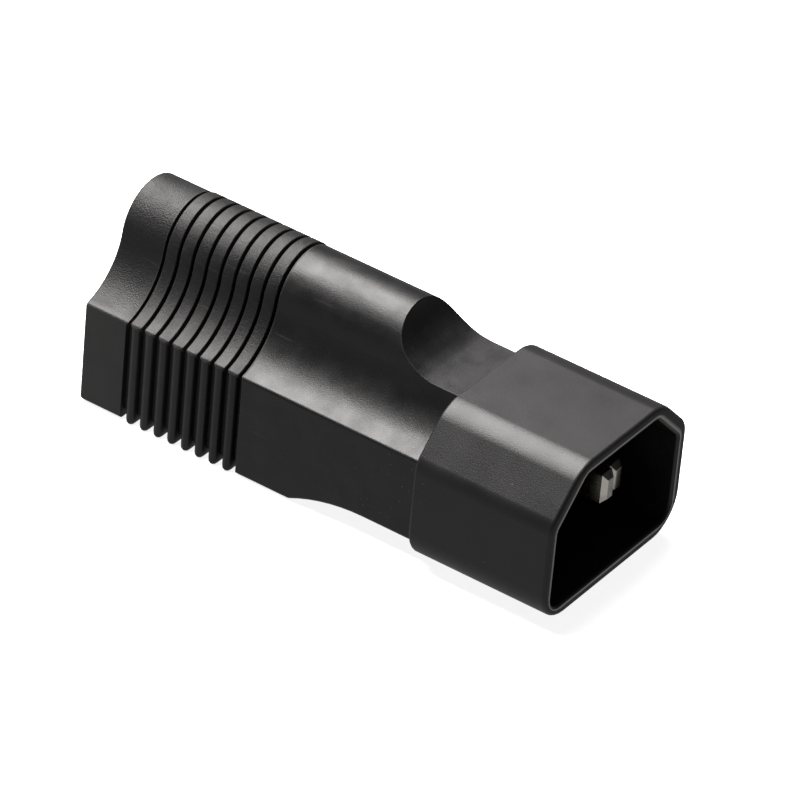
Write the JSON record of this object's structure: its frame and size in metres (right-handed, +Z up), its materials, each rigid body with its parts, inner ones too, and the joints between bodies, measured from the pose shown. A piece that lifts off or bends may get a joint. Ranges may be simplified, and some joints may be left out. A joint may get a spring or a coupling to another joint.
{
  "type": "mains adapter",
  "caption": "Rigid moulded mains adapter with a three-pin appliance inlet at one end and a grounded flat-blade receptacle at the other, and a ribbed grip.",
  "frame": {"origin": "under the middle of the adapter's length and width, on the plane of its flat underside", "axes": "+X out of the inlet, +Z up towards the ground hole and the earth pin, Y across"},
  "size_m": [0.0672, 0.0278, 0.0255],
  "materials": {
    "body_pvc": "soft PVC, satin, fine moulded grain",
    "shroud_nylon": "hard moulded nylon, satin",
    "insert_pbt": "moulded PBT, matt",
    "mould_pe": "natural polyethylene, waxy",
    "pin_nickel": "nickel plate on brass, bright",
    "contact_brass": "stamped strip, bright",
    "core_copper": "bare copper strands",
    "sleeve_tin": "tin plate, satin",
    "line_insulation": "extruded PVC",
    "neutral_insulation": "extruded PVC",
    "ground_insulation": "extruded PVC"
  },
  "bodies": {
    "root": {"overmould_body": "body_pvc", "inlet_shroud": "shroud_nylon", "pin_bridge": "insert_pbt", "line_pin": "pin_nickel", "neutral_pin": "pin_nickel", "earth_pin": "pin_nickel", "receptacle_insert": "insert_pbt", "receptacle_back_cover": "insert_pbt", "line_contact": "contact_brass", "neutral_contact": "contact_brass", "ground_contact": "contact_brass", "line_wire_core": "core_copper", "neutral_wire_core": "core_copper", "ground_wire_core": "core_copper", "line_wire_insulation": "line_insulation", "neutral_wire_insulation": "neutral_insulation", "ground_wire_insulation": "ground_insulation", "line_crimp_sleeve": "sleeve_tin", "neutral_crimp_sleeve": "sleeve_tin", "ground_crimp_sleeve": "sleeve_tin", "inner_mould": "mould_pe"}
  },
  "joints": []
}
